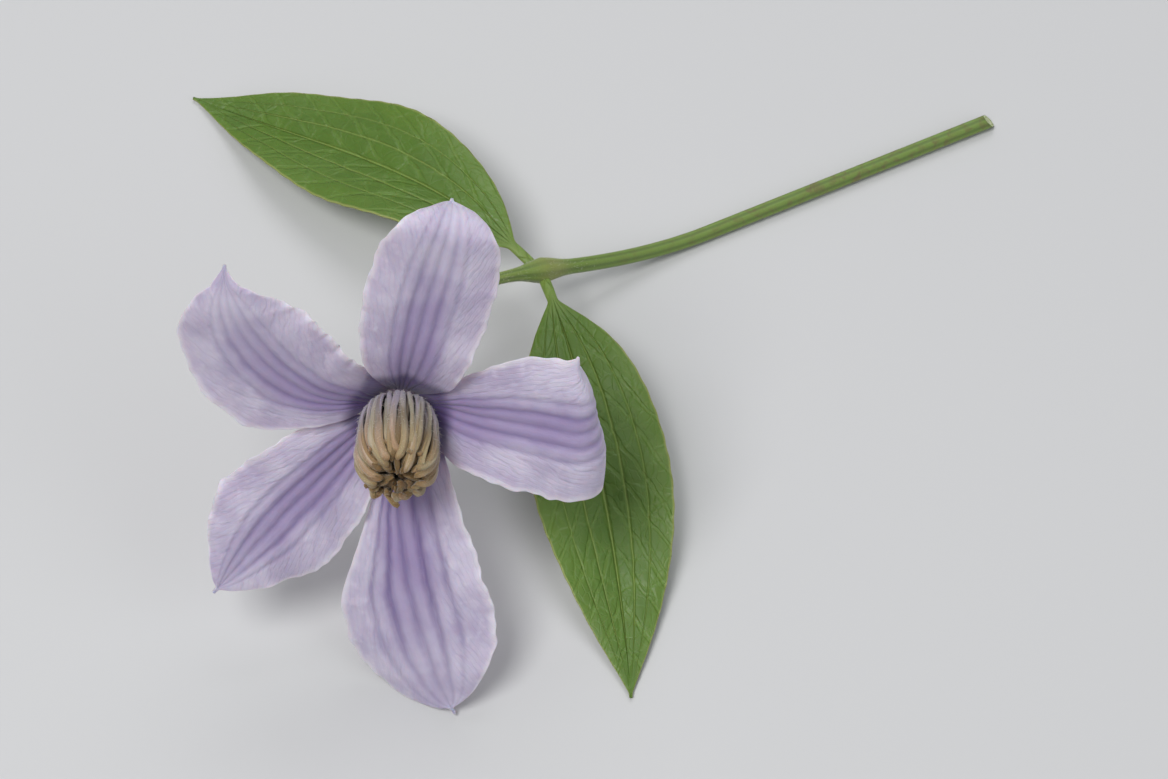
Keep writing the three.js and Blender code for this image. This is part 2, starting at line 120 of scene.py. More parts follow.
# Each whorl of stamens: how many, first angle (degrees), the share of the length where the anther
# starts, the half-width of its members (mm), the hairs on each, the share of them whose tips have
# sunk, and the barrel line as (radius, height) from the foot to the curled-in tip.
WHORLS = (
    dict(count=31, first=0, anther=0.52, half=0.68, hairs=34, sunken=0.2, line=(
        (3.6, 1.9), (5.5, 3.1), (6.4, 6.5), (6.5, 10.6), (6.15, 14.6), (4.8, 17.4), (3.4, 18.5))),
    dict(count=28, first=6, anther=0.54, half=0.64, hairs=12, sunken=0.2, line=(
        (3.2, 1.9), (4.9, 3.7), (5.8, 7.1), (6.0, 10.8), (5.6, 14.3), (4.2, 16.9), (2.6, 17.8))),
    dict(count=20, first=4, anther=0.55, half=0.64, hairs=12, sunken=0, line=(
        (2.8, 1.9), (4.1, 4.6), (5.2, 7.8), (5.4, 11), (4.9, 14.0), (3.6, 16.5), (1.9, 17.5))),
    dict(count=12, first=0, anther=0.56, half=0.62, hairs=12, sunken=0, line=(
        (2.4, 1.9), (3.1, 5.0), (3.8, 8.0), (4.1, 11), (3.8, 13.8), (2.8, 16.0), (1.3, 17.0))),
)

# Height of the stamens' feet, as (radius, height) the closed outline of the cup that they stand on
# and the line of the pistils' core, how many styles stand on that, and the hairs on each.
STAMEN_FOOT = 1.9
STAMEN_CUP = ((1.75, 1.35), (3.9, 1.35), (4.15, 2.0), (3.9, 3.0), (2.4, 3.3), (1.75, 2.6))
PISTIL_CORE = ((0.7, 1.6), (1.05, 3.2), (1.15, 6), (1.2, 9), (1.0, 11.5), (0.4, 12.6))
STYLES = 24
STYLE_HAIRS = 12

# The pair of leaves, in degrees and mm: heading of the start, its change to the tip, length,
# half-width, rise of the leaf stalk, how far each half is folded up, the ripple of its margin.
LEAVES = {
    "leaf_left": dict(heading=138, bend=16, length=74, half=16.5, rise=16, fold=16, ripple=0.7,
                      phase=0.6),
    "leaf_right": dict(heading=288, bend=-14, length=76, half=17, rise=10, fold=14, ripple=0.8,
                       phase=2.4),
}

# For both leaves (mm): how far from the joint's side the midrib starts, half the leaf stalk's
# width, half the blade's thickness, how far its rim is rounded out, the height of the midrib where
# the tip rests, and the length to which the patterns are drawn. The nerves lie at these shares of
# the half-width.
LEAF_START = 1.15
PETIOLE_HALF = 0.65
LEAF_THIN_HALF = 0.3
LEAF_RIM = 0.06
LEAF_REST = 0.475
LEAF_PATTERN = 75.0
LEAF_NERVES = (0.0, 0.32, 0.62)

# The picture, in m and degrees: the camera's aim, height angle, distance and lens, the lamps as
# (azimuth, elevation, distance, size, power in W, colour) and the height that they are aimed at,
# the room's own light, and the floor's half-width and how far it lies below 0.
CAMERA_AIM = np.array([-0.0015, -0.0115, 0.0215])
CAMERA_ELEVATION = 60
CAMERA_AWAY = 0.71
LENS_MM = 130
SENSOR_MM = 36
LAMPS = {
    "key light": (-48, 64, 1.1, 0.5, 7.1, (1, 0.99, 0.97)),
    "fill light": (60, 40, 1.2, 0.9, 2.0, (0.97, 0.98, 1)),
    "back light": (175, 55, 1.2, 0.7, 3.8, (1, 1, 1)),
}
LAMPS_AIM_HEIGHT = 0.03
ROOM_COLOUR = (0.9, 0.91, 0.93, 1)
ROOM_STRENGTH = 0.3
FLOOR_HALF = 2.5
FLOOR_DROP = 0.0001


# Sums used by the shapes.

def ease(x):
    """Rises from 0 to 1 as 3x^2 - 2x^3 and is held at both ends."""
    x = np.clip(x, 0, 1)
    return x * x * (3 - 2 * x)


def ends(q, first, last, start=0.0):
    """1 in the middle: eases up from 0 over first, past start, and down to 0 over last, at 1."""
    return ease((q - start) / first) * ease((1 - q) / last)


def bell(x, width):
    """A hump of height 1 about 0: e to the minus (x / width) squared."""
    return np.exp(-((x / width) ** 2))


def ridges(x, places, widths, heights):
    """The sum of humps, one at each place."""
    return sum(high * bell(x - at, width) for at, width, high in zip(places, widths, heights))


def around(sides):
    """Angles of evenly spaced places round a turn."""
    return TURN * np.arange(sides) / sides


def unit(v):
    """Vectors scaled to length 1."""
    return v / np.maximum(np.linalg.norm(v, axis=-1, keepdims=True), 1e-12)


def stack(*parts):
    """Coordinates side by side, spread to one common shape."""
    return np.stack(np.broadcast_arrays(*parts), axis=-1)


def in_bloom(p):
    """From the bloom's own frame (+z out of its face) to the part's frame: a turn about x by
    90 degrees less the tilt, then the move to the head."""
    c, s = math.sin(FACE_TILT), math.cos(FACE_TILT)
    x, y, z = p[..., 0], p[..., 1], p[..., 2]
    return stack(x, y * c - z * s, y * s + z * c) + HEAD


def through(points, t):
    """A smooth line through points, at shares t of their count: cubic pieces whose slope at each
    point is half the step between its neighbours."""
    points = np.asarray(points, float)
    slope = np.gradient(points, axis=0)
    last = len(points) - 1
    k = np.minimum((t * last).astype(int), last - 1)
    x = (t * last - k)[:, None]
    a, b, da, db = points[k], points[k + 1], slope[k], slope[k + 1]
    return (a * (1 - 3 * x**2 + 2 * x**3) + b * (3 * x**2 - 2 * x**3)
            + da * (x - 2 * x**2 + x**3) + db * (x**3 - x**2))


def walk(way_at, length, shares, steps=600):
    """Points at shares of a line of this length that leaves 0 and runs by way_at(share): the sum
    of many equal steps, and straight on backwards below share 0."""
    middles = (np.arange(steps) + 0.5) / steps
    reached = np.cumsum(way_at(middles) * length / steps, axis=0)
    reached = np.concatenate([0 * reached[:1], reached])
    known = np.linspace(0, 1, steps + 1)
    line = np.stack([np.interp(shares, known, column) for column in reached.T], axis=-1)
    return line + way_at(np.zeros(1)) * np.minimum(shares, 0)[:, None] * length


def beside(line, side, x, normal, y):
    """Points x along side and y along normal from each point of a line."""
    return line[:, None] + side[..., None, :] * x[..., None] + normal[..., None, :] * y[..., None]


def round_axis(turn):
    """Directions out from the z axis, and onward round it, at these angles."""
    return (stack(np.cos(turn), np.sin(turn), 0 * turn),
            stack(-np.sin(turn), np.cos(turn), 0 * turn))


def turned(line, sides, flutes=0, depth=0.0):
    """Rings from a line of (radius, height) carried round the z axis, its radius fluted by a
    cosine of the angle."""
    spin = around(sides)
    radius = line[:, :1] * (1 + depth * np.cos(flutes * spin))
    return stack(radius * np.cos(spin), radius * np.sin(spin), line[:, 1:])


def settle(distance, reach, start_height, end_height, slope):
    """Height of a line that leaves start_height with a slope and comes to rest on end_height at
    reach: the drop times (1 - x)^2 (1 + c x), with c chosen for that slope."""
    x = np.clip(distance / reach, 0, 1)
    c = 2 + slope * reach / (start_height - end_height)
    return end_height + (start_height - end_height) * (1 - x) ** 2 * (1 + c * x)


# Shells: closed skins as (points, quads, triangles, finish of each quad and triangle, marks).

def solid_volume(points, quads, triangles):
    """Volume inside a skin: a sixth of the sum of the triple products of its triangles."""
    faces = np.concatenate([quads[:, [0, 1, 2]], quads[:, [0, 2, 3]], triangles])
    a, b, c = points[faces[:, 0]], points[faces[:, 1]], points[faces[:, 2]]
    return np.einsum("ij,ij->", a, np.cross(b, c)) / 6


def shell(points, quads, triangles, quad_finish, triangle_finish, marks):
    """Packs a skin, turned so that its faces look outwards. A finish is one number for all of its
    faces or one for each."""
    quads = np.asarray(quads, int).reshape(-1, 4)
    triangles = np.asarray(triangles, int).reshape(-1, 3)
    if solid_volume(points - points.mean(axis=0), quads, triangles) < 0:
        quads, triangles = quads[:, ::-1], triangles[:, ::-1]
    return (points, quads, triangles, np.broadcast_to(quad_finish, len(quads)),
            np.broadcast_to(triangle_finish, len(triangles)), marks.reshape(-1, 3))


def grid_quads(at):
    """The quads between neighbours in a grid of point numbers, row by row."""
    return np.stack([at[:-1, :-1], at[:-1, 1:], at[1:, 1:], at[1:, :-1]], axis=-1).reshape(-1, 4)


def blade_shell(middle, over, under, marks, rim_out):
    """A thin closed blade from a grid of middle points: the front lies `over` along the surface
    normal, the back `under` against it, and a rim line pushed outwards by rim_out rounds the
    edge between them. Finishes: 0 front, 1 back, and the rim half and half."""
    along, across = np.gradient(middle, axis=0), np.gradient(middle, axis=1)
    normal = unit(np.cross(along, across))
    rows, columns = middle.shape[:2]
    front = (middle + normal * over[..., None]).reshape(-1, 3)
    back = (middle - normal * under[..., None]).reshape(-1, 3)
    at = np.arange(rows * columns).reshape(rows, columns)
    inner = grid_quads(at)
    under_by = rows * columns
    border = np.concatenate([at[0, :-1], at[:-1, -1], at[-1, :0:-1], at[:0:-1, 0]])
    inward = np.concatenate([at[1, :-1], at[:-1, -2], at[-2, :0:-1], at[:0:-1, 1]])
    between = (front + back) / 2
    edge = between[border] + unit(between[border] - between[inward]) * rim_out
    rim = 2 * under_by + np.arange(len(border))
    onward, rim_next = np.roll(border, -1), np.roll(rim, -1)
    quads = np.concatenate([
        inner[:, [0, 3, 2, 1]],
        inner + under_by,
        np.stack([border, onward, rim_next, rim], axis=1),
        np.stack([rim, rim_next, onward + under_by, border + under_by], axis=1),
    ])
    finish = np.repeat([0, 1, 0, 1], [len(inner), len(inner), len(border), len(border)])
    marks = marks.reshape(-1, 3)
    return shell(np.concatenate([front, back, edge]), quads, [], finish, 0,
                 np.concatenate([marks, marks, marks[border]]))


def swept_shell(rings, marks, first=0, side=0, last=0):
    """A closed skin through rings of points, with a point in the middle of each end."""
    rows, sides = rings.shape[:2]
    at = np.arange(rows * sides).reshape(rows, sides)
    right = np.roll(at, -1, axis=1)
    start, end = rows * sides, rows * sides + 1
    triangles = np.concatenate([
        np.stack([np.full(sides, start), right[0], at[0]], axis=1),
        np.stack([np.full(sides, end), at[-1], right[-1]], axis=1),
    ])
    points, marks = (np.concatenate([each.reshape(-1, 3), each[[0, -1]].mean(axis=1)])
                     for each in (rings, marks))
    quads = grid_quads(np.pad(at, ((0, 0), (0, 1)), mode="wrap"))
    return shell(points, quads, triangles, side, np.repeat([first, last], sides), marks)


def ring_shell(rings, marks):
    """A closed ring: a closed outline carried once round, each row one point of the outline."""
    rows, sides = rings.shape[:2]
    at = np.arange(rows * sides).reshape(rows, sides)
    quads = grid_quads(np.pad(at, ((0, 1), (0, 1)), mode="wrap"))
    return shell(rings.reshape(-1, 3), quads, [], 0, 0, marks)


def hair_shell(roots, ways, sways, lengths, radius, finish):
    """Fine hairs, each a three-sided spike: a foot ring, a middle ring pushed sideways by the
    hair's sway, and a tip pushed further. The second mark is the share of the length."""
    count = len(roots)
    ways, lengths = unit(ways), lengths[:, None]
    one = unit(np.cross(ways, np.roll(ways, 1, axis=1) + [0.3, 0.1, 0.2]))
    two = np.cross(ways, one)
    angles = around(3)[None, :]
    ring = beside(np.zeros(3), one, np.cos(angles), two, np.sin(angles)) * radius
    foot = roots[:, None] + ring
    middle = (roots + ways * lengths * 0.55 + sways * lengths * 0.12)[:, None] + ring * 0.75
    tip = (roots + ways * lengths + sways * lengths * 0.45)[:, None]
    points = np.concatenate([foot, middle, tip], axis=1).reshape(-1, 3)
    base = 7 * np.arange(count)[:, None, None]
    quads = np.array([[0, 1, 4, 3], [1, 2, 5, 4], [2, 0, 3, 5]])[None] + base
    triangles = np.array([[3, 4, 6], [4, 5, 6], [5, 3, 6], [2, 1, 0]])[None] + base
    marks = np.zeros((7 * count, 3))
    marks[:, 1] = np.tile([0, 0, 0, 0.55, 0.55, 0.55, 1], count)
    return shell(points, quads, triangles, finish, finish, marks)


def piece(name, shells, finishes, node):
    """One mesh from shells in mm, smooth all over, with the marks kept as the attribute `place`;
    it rides on the root and stands for a node, whose imported part it hides."""
    points, quads, triangles, quad_finish, triangle_finish, marks = zip(*shells)
    first = np.cumsum([0] + [len(each) for each in points])
    faces = [face for group in (quads, triangles)
             for each, start in zip(group, first) for face in (each + start).tolist()]
    mesh = bpy.data.meshes.new(name)
    mesh.from_pydata(np.concatenate(points) * MM, [], faces)
    mesh.polygons.foreach_set("material_index", np.concatenate(quad_finish + triangle_finish))
    mesh.polygons.foreach_set("use_smooth", np.ones(len(faces), bool))
    mark = mesh.attributes.new("place", "FLOAT_VECTOR", "POINT")
    mark.data.foreach_set("vector", np.concatenate(marks).astype(np.float32).ravel())
    for material in finishes:
        mesh.materials.append(material)
    made = bpy.data.objects.new(name, mesh)
    bpy.context.scene.collection.objects.link(made)
    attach(made, "root")
    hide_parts(node)


# Finishes.

class Finish:
    """A finish as a small tree of nodes that ends in one Principled skin."""

    def __init__(self, name, rough, **sockets):
        self.made = bpy.data.materials.new(name)
        self.made.use_nodes = True
        self.tree = self.made.node_tree
        self.skin = self.tree.nodes["Principled BSDF"]
        self.skin.inputs["Roughness"].default_value = rough
        for socket, value in sockets.items():
            self.skin.inputs[socket.replace("_", " ")].default_value = value
        self.object = self.node("ShaderNodeTexCoord").outputs["Object"]
        place = self.node("ShaderNodeAttribute", attribute_name="place")
        split = self.node("ShaderNodeSeparateXYZ", {0: place.outputs["Vector"]})
        self.mark = list(split.outputs)

    def node(self, kind, inputs=(), **settings):
        """A new node with its settings, and with its inputs fed as (name or number, value)."""
        made = self.tree.nodes.new(kind)
        for key, value in settings.items():
            setattr(made, key, value)
        for key, value in dict(inputs).items():
            self.feed(made.inputs[key], value)
        return made

    def feed(self, socket, value):
        """Links a socket to another's output, or gives it a fixed value."""
        if isinstance(value, bpy.types.NodeSocket):
            self.tree.links.new(value, socket)
        else:
            socket.default_value = value

    def sum(self, operation, *values):
        """One step of arithmetic."""
        return self.node("ShaderNodeMath", enumerate(values), operation=operation).outputs[0]

    def times(self, *values):
        """The product of the values."""
        return reduce(partial(self.sum, "MULTIPLY"), values)

    def plus(self, *values):
        """The sum of the values."""
        return reduce(partial(self.sum, "ADD"), values)

    def rise(self, value, low, high, start=0.0, end=1.0):
        """Eases from start to end as value goes from low to high."""
        made = self.node("ShaderNodeMapRange", enumerate((value, low, high, start, end)),
                         interpolation_type="SMOOTHSTEP")
        return made.outputs[0]

    def line(self, value, at, half):
        """1 where value equals at, easing to 0 at half away."""
        off = self.sum("ABSOLUTE", self.sum("SUBTRACT", value, at))
        return self.rise(off, 0.0, half, 1.0, 0.0)

    def lines(self, value, *each):
        """The sum of several lines, each given as (at, half, strength)."""
        return self.plus(*(self.times(self.line(value, at, half), strength)
                           for at, half, strength in each))

    def noise(self, size_mm, where=None, detail=2.0, warp=0.0):
        """Soft random mottling, 0 to 1, with blotches of about size_mm."""
        made = self.node("ShaderNodeTexNoise", {
            "Vector": where or self.object, "Scale": (1 / MM if where is None else 1) / size_mm,
            "Detail": detail, "Roughness": 0.55, "Distortion": warp,
        })
        return made.outputs[0]

    def streaks(self, *marks, detail=3.0):
        """Soft noise over marks, each given as (mark, scale): a small scale draws it out."""
        where = self.join(*(self.times(mark, scale) for mark, scale in marks))
        return self.noise(1.0, where, detail)

    def net(self, size_mm, where):
        """Distance to the nearest edge of a net with meshes of about size_mm, 0 on the edge."""
        made = self.node("ShaderNodeTexVoronoi", {"Vector": where}, feature="DISTANCE_TO_EDGE")
        made.inputs["Scale"].default_value = 1 / size_mm
        return made.outputs["Distance"]

    def join(self, x, y, z=0.0):
        """A place from three coordinates."""
        return self.node("ShaderNodeCombineXYZ", enumerate((x, y, z))).outputs[0]

    def warped(self, where, size_mm, amount):
        """A place pushed about by soft noise of size_mm, up to about half of amount each way."""
        noise = self.node("ShaderNodeTexNoise", {"Vector": where, "Scale": 1 / size_mm})
        pushed = enumerate((noise.outputs["Color"], (amount, amount, amount), where))
        return self.node("ShaderNodeVectorMath", pushed, operation="MULTIPLY_ADD").outputs[0]

    def aside(self, across, size_mm, amount):
        """How far from the midrib, made to wander by soft noise of size_mm."""
        wander = self.sum("SUBTRACT", self.noise(size_mm), 0.5)
        return self.sum("ABSOLUTE", self.plus(across, self.times(wander, amount)))

    def slanted(self, length, sideways, lean, pitch, drift, detail=2.0):
        """Waves of slanting side veins, -1 to 1: the sine of pitch times (lean x length less the
        distance from the midrib), shifted by noise given as (size in mm, amount)."""
        along = self.sum("SUBTRACT", self.times(length, lean), self.sum("ABSOLUTE", sideways))
        shift = self.times(self.noise(drift[0], detail=detail), drift[1])
        return self.sum("SINE", self.plus(self.times(along, pitch), shift))

    def blend(self, share, first, second):
        """Colour that goes from first to second as share goes from 0 to 1."""
        made = self.node("ShaderNodeMix", {0: share, 6: first, 7: second}, data_type="RGBA",
                         clamp_factor=True)
        return made.outputs[2]

    def layers(self, colour, *each):
        """Colours laid one over the other on the first. Each is given with its shares, and is as
        strong as their product."""
        for top, *shares in each:
            colour = self.blend(self.times(*shares), colour, top)
        return colour

    def close(self, colour, rough=None, height=None, depth_mm=0.1):
        """Joins colour, roughness and relief to the skin."""
        self.feed(self.skin.inputs["Base Color"], colour)
        if rough is not None:
            self.feed(self.skin.inputs["Roughness"], rough)
        if height is not None:
            bump = self.node("ShaderNodeBump", {"Strength": 1.0, "Distance": depth_mm * MM,
                                                "Height": height})
            self.feed(self.skin.inputs["Normal"], bump.outputs[0])
        return self.made


def tint(red, green, blue):
    """A colour from screen values 0 to 255, made linear."""
    c = np.array([red, green, blue]) / 255
    linear = np.where(c <= 0.04045, c / 12.92, ((c + 0.055) / 1.055) ** 2.4)
    return (*linear.tolist(), 1.0)


def tepal_inside(name, fade, band, dark):
    """Inside of a tepal: pale lilac lobes with soft whitish patches of painted sheen, a violet bar
    with darker nerves that run together at foot and tip, faint feathered side veins, a whitish
    downy margin, and a dark violet ring round the stamens, painted shade where the foot lies in
    the hollow by the barrel. The bar has faded out at the share fade of the length; band spreads
    its nerves, and dark is how strong they are. Marks: across, along, mm sideways."""
    f = Finish(name + " inside, lilac silk", 0.55, Subsurface_Weight=0.22, Subsurface_Scale=0.0012,
               Sheen_Weight=0.25, Sheen_Roughness=0.5, Specular_IOR_Level=0.35)
    across, along, sideways = f.mark
    length = f.times(along, TEPAL_PATTERN)
    side = f.aside(across, 5.0, 0.09)
    spread = f.times(side, 1 / band)
    grain = f.streaks((sideways, 1.3), (length, 0.16))
    nerves = f.lines(spread, *zip(TEPAL_NERVES, (0.085, 0.085, 0.075), (0.7, 0.9, 0.6)))
    nerves = f.times(nerves, f.rise(along, fade - 0.45, fade + 0.05, 1.0, 0.3),
                     f.rise(grain, 0.25, 0.6, 0.55, 1.0))
    feather = f.slanted(length, sideways, 0.55, 2.4, (6.0, 8.0))
    feather = f.times(f.rise(feather, 0.6, 1.0), f.rise(side, 0.3, 0.5), f.rise(side, 0.98, 0.7))
    fibre = f.slanted(length, sideways, 0.3, 7.5, (3.0, 9.0), detail=3.0)
    fibre = f.times(f.rise(fibre, 0.3, 1.0), f.rise(side, 0.25, 0.45))
    widened = f.rise(along, 0.5, 0.12, 0.0, 0.2)
    bar = f.times(f.rise(f.sum("SUBTRACT", spread, widened), 0.5, 0.12),
                  f.rise(along, fade, fade - 0.6))
    # bloom is painted sheen: soft whitish patches laid on the lobes, away from the middle.
    bloom = f.rise(f.noise(2.2, detail=4.0), 0.52, 0.72)
    down = f.plus(f.rise(side, 0.88, 1.0), f.times(f.rise(f.noise(0.35), 0.62, 0.8), 0.12))
    # blotch mixes the lobes' own uneven lilac with paler patches that are painted sheen.
    blotch = f.rise(f.noise(7.0, detail=3.0), 0.3, 0.7)
    colour = f.layers(
        f.blend(blotch, tint(205, 199, 220), tint(180, 171, 199)),
        (tint(223, 218, 234), bloom, f.rise(side, 0.25, 0.7), 0.35),
        (tint(150, 132, 178), bar, 0.8),
        (tint(140, 118, 174), f.rise(along, 0.32, 0.06), 0.2),
        (tint(158, 144, 188), feather, 0.12),
        (tint(156, 142, 186), fibre, 0.07),
        (tint(100, 80, 134), nerves, dark),
        (tint(232, 227, 235), down, f.rise(along, 0.1, 0.22), 0.66),
        # Painted shade: a dark violet ring on the foot where it lies in the hollow by the barrel,
        # over the foot's own deeper violet.
        (tint(56, 34, 92), f.rise(along, 0.14, 0.075), 0.8),
    )
    wrinkle = f.noise(0.9, f.join(sideways, f.times(length, 0.5)), 3.0)
    height = f.plus(f.times(grain, 0.5), f.times(wrinkle, 0.45), f.times(nerves, -0.5),
                    f.times(feather, -0.22), f.times(fibre, -0.12), f.times(f.noise(0.2), 0.1))
    rough = f.rise(grain, 0.2, 0.8, 0.46, 0.64)
    return f.close(colour, rough, height, depth_mm=0.22)


def tepal_outside(name, band):
    """Outside of a tepal: a rose-plum bar with darker ribs on a pale lilac ground, whitish and
    downy towards the margin. band spreads the ribs. Marks: as inside."""
    f = Finish(name + " outside, rose bar on lilac", 0.7, Subsurface_Weight=0.18,
               Subsurface_Scale=0.001, Sheen_Weight=0.4, Sheen_Roughness=0.45,
               Specular_IOR_Level=0.3)
    across, along, sideways = f.mark
    length = f.times(along, TEPAL_PATTERN)
    side = f.aside(across, 5.0, 0.08)
    streak = f.streaks((sideways, 1.6), (length, 0.12))
    reach = f.times(f.rise(along, 0.0, 0.3, 0.75, 0.46), f.rise(along, 0.55, 1.0, 1.0, 0.35))
    off = f.sum("SUBTRACT", side, reach)
    bar = f.rise(f.plus(off, f.times(f.sum("SUBTRACT", streak, 0.5), 0.12)), 0.06, -0.05)
    spread = f.times(side, 1 / band)
    ribs = f.lines(spread, *zip(TEPAL_NERVES, (0.06, 0.06, 0.05), (1.0, 1.0, 0.55)))
    ribs = f.times(ribs, f.rise(along, 0.8, 1.0, 1.0, 0.3))
    feather = f.slanted(length, sideways, 0.55, 2.7, (6.0, 7.0))
    feather = f.times(f.rise(feather, 0.5, 1.0), f.rise(side, 0.42, 0.6))
    down = f.plus(f.rise(side, 0.8, 1.0), f.times(f.rise(f.noise(0.3), 0.58, 0.8), 0.35))
    colour = f.layers(
        f.blend(f.noise(6.0), tint(214, 203, 222), tint(200, 190, 216)),
        (tint(176, 152, 196), feather, 0.25),
        (f.blend(streak, tint(196, 128, 178), tint(168, 104, 156)), bar, 0.9),
        (tint(128, 66, 116), ribs, 0.7),
        (tint(150, 142, 110), f.rise(along, 0.16, 0.0), 0.55),
        (tint(232, 226, 234), down, 0.55),
    )
    height = f.plus(f.times(streak, 0.5), f.times(f.noise(0.3), 0.5))
    return f.close(colour, f.rise(streak, 0.2, 0.8, 0.6, 0.78), height, depth_mm=0.2)


def stamen_finish():
    """Stamens: pale grey-lilac feet, khaki-cream filaments with fine long streaks, the pale ones
    painted highlights, dull buff backs flushed rose, olive-gold lobes dusted with pollen, and
    inner whorls darkened with painted shade. Marks: sine of the place round the section, share of
    the length, member."""
    f = Finish("stamen, cream to gold", 0.62, Subsurface_Weight=0.1, Subsurface_Scale=0.0006,
               Sheen_Weight=0.35, Sheen_Roughness=0.4, Specular_IOR_Level=0.25)
    round_it, along, member = f.mark
    streak = f.streaks((round_it, 2.2), (along, 2.6), (member, 61.0), detail=4.0)
    own = f.noise(1.0, f.join(f.times(member, 93.0), 0.5), 0.0)
    late = f.plus(along, f.times(f.sum("SUBTRACT", own, 0.5), 0.4))
    lobe = f.rise(f.sum("ABSOLUTE", round_it), 0.85, 0.45)
    pollen = f.times(f.rise(f.noise(0.22), 0.58, 0.7), f.rise(along, 0.55, 0.7))
    colour = f.layers(
        tint(180, 172, 190),
        (tint(168, 157, 142), f.rise(late, 0.2, 0.52)),
        (tint(166, 142, 107), f.rise(late, 0.42, 0.8)),
        (tint(168, 166, 134), f.rise(own, 0.5, 0.62), f.rise(along, 0.08, 0.3), 0.4),
        (tint(182, 144, 124), f.rise(own, 0.45, 0.36), f.rise(late, 0.35, 0.6), 0.45),
        (tint(162, 134, 88), lobe, f.rise(along, 0.5, 0.62), 0.6),
        (tint(112, 88, 46), f.rise(round_it, -0.4, -0.9), f.rise(along, 0.46, 0.6), 0.6),
        (tint(116, 98, 70), f.rise(streak, 0.5, 0.3), 0.6),
        # Painted highlights: pale glints along the lighter streaks.
        (tint(222, 211, 196), f.rise(streak, 0.54, 0.76), 0.45),
        (tint(222, 198, 144), pollen, 0.55),
        # Painted shade: the inner whorls, deep in the barrel, darker the further in they stand.
        (tint(92, 70, 36), f.rise(member, 0.9, 2.2), 0.72),
        (tint(128, 98, 58), f.rise(along, 0.86, 1.0), 0.75),
    )
    height = f.plus(f.times(streak, 1.6), f.times(f.noise(0.3, detail=3.0), 0.4),
                    f.times(pollen, 0.4))
    return f.close(colour, f.rise(streak, 0.3, 0.7, 0.55, 0.78), height, depth_mm=0.16)


def silk_finish(name, foot, tip):
    """Silky hair: one colour at the foot, a paler one at the tip."""
    f = Finish(name, 0.5, Sheen_Weight=0.4, Specular_IOR_Level=0.4)
    return f.close(f.blend(f.plus(f.mark[1], f.times(f.noise(1.0), 0.2)), foot, tip))


def pistil_finish():
    """Pistils: olive bodies with pale silky styles, browner at the tips."""
    f = Finish("pistil, olive silk", 0.6, Sheen_Weight=0.3, Specular_IOR_Level=0.3)
    along, fleck = f.mark[1], f.noise(0.4, detail=3.0)
    colour = f.layers(
        tint(140, 142, 84),
        (tint(196, 184, 128), f.plus(along, f.times(fleck, 0.2))),
        (tint(130, 98, 56), f.rise(along, 0.88, 1.0)),
    )
    return f.close(colour, f.rise(fleck, 0.3, 0.7, 0.5, 0.72), fleck, depth_mm=0.1)


def stem_finish():
    """Stem: fresh green ribs with darker furrows, a plum flush below the leaf joint and downy
    mottling. Marks: rib height, length from the head in mm over 100."""
    f = Finish("stem, ribbed green", 0.5, Subsurface_Weight=0.08, Subsurface_Scale=0.0008,
               Sheen_Weight=0.2, Specular_IOR_Level=0.4)
    rib, along, _ = f.mark
    streak = f.noise(1.6, detail=4.0, warp=0.6)
    down = f.rise(f.noise(0.35), 0.56, 0.75)
    colour = f.layers(
        tint(158, 166, 84),
        (tint(112, 138, 62), f.rise(along, 0.05, 0.6)),
        (tint(78, 104, 46), f.rise(rib, 0.6, 0.0), 0.6),
        (tint(110, 74, 66), f.rise(streak, 0.42, 0.75), f.rise(along, 0.45, 1.1), 0.55),
        (tint(150, 150, 84), f.line(along, 0.535, 0.05), 0.5),
        (tint(206, 208, 172), down, f.rise(along, 0.75, 0.1), 0.35),
        (tint(98, 80, 112), f.rise(along, 0.02, 0.006), 0.9),
    )
    height = f.plus(f.times(streak, 0.6), f.times(f.noise(0.4), 0.6))
    return f.close(colour, f.rise(streak, 0.3, 0.7, 0.42, 0.6), height, depth_mm=0.12)


def cut_finish():
    """The cut: pale pith, a ring of darker bundles, a thin green skin. Marks: place round the
    section as cosine and sine times the share of the radius."""
    f = Finish("fresh cut, pale pith", 0.45, Specular_IOR_Level=0.45)
    x, y, _ = f.mark
    out = f.sum("SQRT", f.plus(f.times(x, x), f.times(y, y)))
    turn = f.sum("ARCTAN2", y, x)
    rib = f.sum("COSINE", f.times(turn, STEM_RIBS))
    colour = f.layers(
        f.blend(f.noise(0.3), tint(226, 230, 196), tint(204, 214, 162)),
        (tint(168, 186, 108), f.line(out, 0.68, 0.24)),
        (tint(120, 132, 68), f.rise(rib, 0.0, 0.9), f.line(out, 0.66, 0.2), 0.7),
        (tint(96, 124, 54), f.rise(out, 0.86, 1.0)),
    )
    return f.close(colour, f.rise(f.noise(0.2), 0.3, 0.7, 0.35, 0.6), f.noise(0.15, detail=3.0),
                   depth_mm=0.08)


